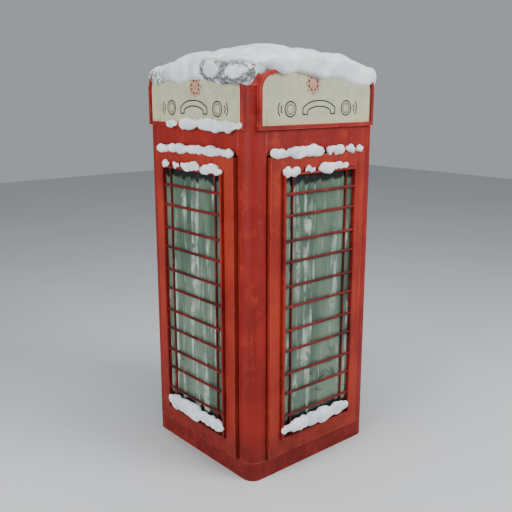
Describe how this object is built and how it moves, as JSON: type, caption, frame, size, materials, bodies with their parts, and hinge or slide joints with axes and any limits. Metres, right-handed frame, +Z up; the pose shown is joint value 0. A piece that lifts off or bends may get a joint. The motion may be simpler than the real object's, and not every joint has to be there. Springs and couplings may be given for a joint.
{
  "type": "telephone booth",
  "caption": "Street telephone booth with glazed sides, hinged door, arched illuminated signs, domed roof, settled snow and a coin-box pay telephone inside.",
  "frame": {"origin": "on the ground, at the centre of the booth's plan", "axes": "+Z up; -Y is the glazed front, -X the left glazed side, +X the door side, +Y the blank side that carries the telephone"},
  "size_m": [1.11, 1.11, 2.534],
  "materials": {
    "red_cast_iron": "satin painted cast iron, weathered",
    "red_timber": "satin painted timber, weathered",
    "window_glass": "gloss, dirty and frosted",
    "opal_sheet": "satin opal sheet",
    "lamp_glass": "gloss",
    "brass_fittings": "satin",
    "bright_metal": "polished",
    "steel_screws": "satin",
    "black_case": "gloss black enamel",
    "black_bakelite": "gloss",
    "cream_enamel": "satin",
    "floor_iron": "matte",
    "board_timber": "satin varnish",
    "snow": "matte settled snow"
  },
  "bodies": {
    "booth": {"base_plinth": "red_cast_iron", "corner_post_front_left": "red_cast_iron", "corner_post_front_right": "red_cast_iron", "corner_post_rear_left": "red_cast_iron", "corner_post_rear_right": "red_cast_iron", "header_rail_front": "red_cast_iron", "header_rail_door": "red_cast_iron", "header_rail_rear": "red_cast_iron", "header_rail_left": "red_cast_iron", "sign_frame_front": "red_cast_iron", "sign_frame_door": "red_cast_iron", "sign_frame_rear": "red_cast_iron", "sign_frame_left": "red_cast_iron", "roof_dome": "red_cast_iron", "front_window_frame": "red_cast_iron", "front_window_trim": "red_cast_iron", "front_window_bars": "red_cast_iron", "left_window_frame": "red_cast_iron", "left_window_trim": "red_cast_iron", "left_window_bars": "red_cast_iron", "rear_panel_frame": "red_cast_iron", "rear_panel_trim": "red_cast_iron", "rear_panel_plate": "red_cast_iron", "front_window_glass": "window_glass", "left_window_glass": "window_glass", "sign_panel_front": "opal_sheet", "sign_panel_door": "opal_sheet", "sign_panel_rear": "opal_sheet", "sign_panel_left": "opal_sheet", "lamp_diffuser": "lamp_glass", "lamp_bulb": "lamp_glass", "door_hinge_fixed_leaves": "brass_fittings", "door_hinge_pins": "brass_fittings", "panel_screws": "steel_screws", "phone_housing": "black_case", "coin_head": "black_case", "dial_plate": "cream_enamel", "ceiling_panel": "cream_enamel", "lamp_housing": "cream_enamel", "floor_plate": "floor_iron", "backboard": "board_timber", "directory_shelf": "board_timber", "snow_roof": "snow", "snow_sign_ledge": "snow", "snow_front_ledges": "snow", "snow_left_ledges": "snow"},
    "door": {"door_leaf": "red_timber", "door_trim": "red_cast_iron", "door_bars": "red_cast_iron", "door_glass": "window_glass", "door_cup_pull": "brass_fittings", "door_hinge_moving_leaves": "brass_fittings"},
    "finger_wheel": {"finger_wheel": "bright_metal"},
    "button_a": {"button_a": "bright_metal"},
    "button_b": {"button_b": "bright_metal"},
    "switch_hook": {"switch_hook": "bright_metal"},
    "handset": {"handset": "black_bakelite"},
    "coin_return_flap": {"coin_return_flap": "bright_metal"},
    "cash_door": {"cash_door": "black_case"},
    "cash_lock": {"cash_lock": "brass_fittings"}
  },
  "joints": [
    {"name": "door_hinge", "type": "hinge", "parent": "booth", "child": "door", "pos_m": [0.531, 0.385, 1.02], "axis": [0, 0, 1], "range_deg": [0, 100]},
    {"name": "dial_turn", "type": "hinge", "parent": "booth", "child": "finger_wheel", "pos_m": [0, 0.31, 1.246], "axis": [0, 1, 0], "range_deg": [0, 300], "stiffness_Nm_per_rad": 0.02},
    {"name": "button_a_push", "type": "slide", "parent": "booth", "child": "button_a", "axis": [0, 1, 0], "range_m": [0, 0.008], "stiffness_N_per_m": 250},
    {"name": "button_b_push", "type": "slide", "parent": "booth", "child": "button_b", "axis": [0, 1, 0], "range_m": [0, 0.008], "stiffness_N_per_m": 250},
    {"name": "handset_lift", "type": "slide", "parent": "booth", "child": "handset", "axis": [0, 0, 1], "range_m": [0, 0.06]},
    {"name": "hook_lever", "type": "hinge", "parent": "booth", "child": "switch_hook", "pos_m": [-0.095, 0.392, 1.29], "axis": [0, 1, 0], "range_deg": [0, 12.1]},
    {"name": "coin_return_flap_swing", "type": "hinge", "parent": "booth", "child": "coin_return_flap", "pos_m": [0, 0.3245, 1.088], "axis": [1, 0, 0], "range_deg": [0, 60]},
    {"name": "cash_door_hinge", "type": "hinge", "parent": "booth", "child": "cash_door", "pos_m": [-0.096, 0.3175, 0.965], "axis": [0, 0, -1], "range_deg": [0, 110]},
    {"name": "cash_lock_turn", "type": "hinge", "parent": "cash_door", "child": "cash_lock", "pos_m": [0.068, 0.3175, 0.965], "axis": [0, -1, 0], "range_deg": [0, 90]}
  ],
  "couplings": [
    {"joint": "hook_lever", "follows": "handset_lift", "rad_per_m": 3.49}
  ]
}
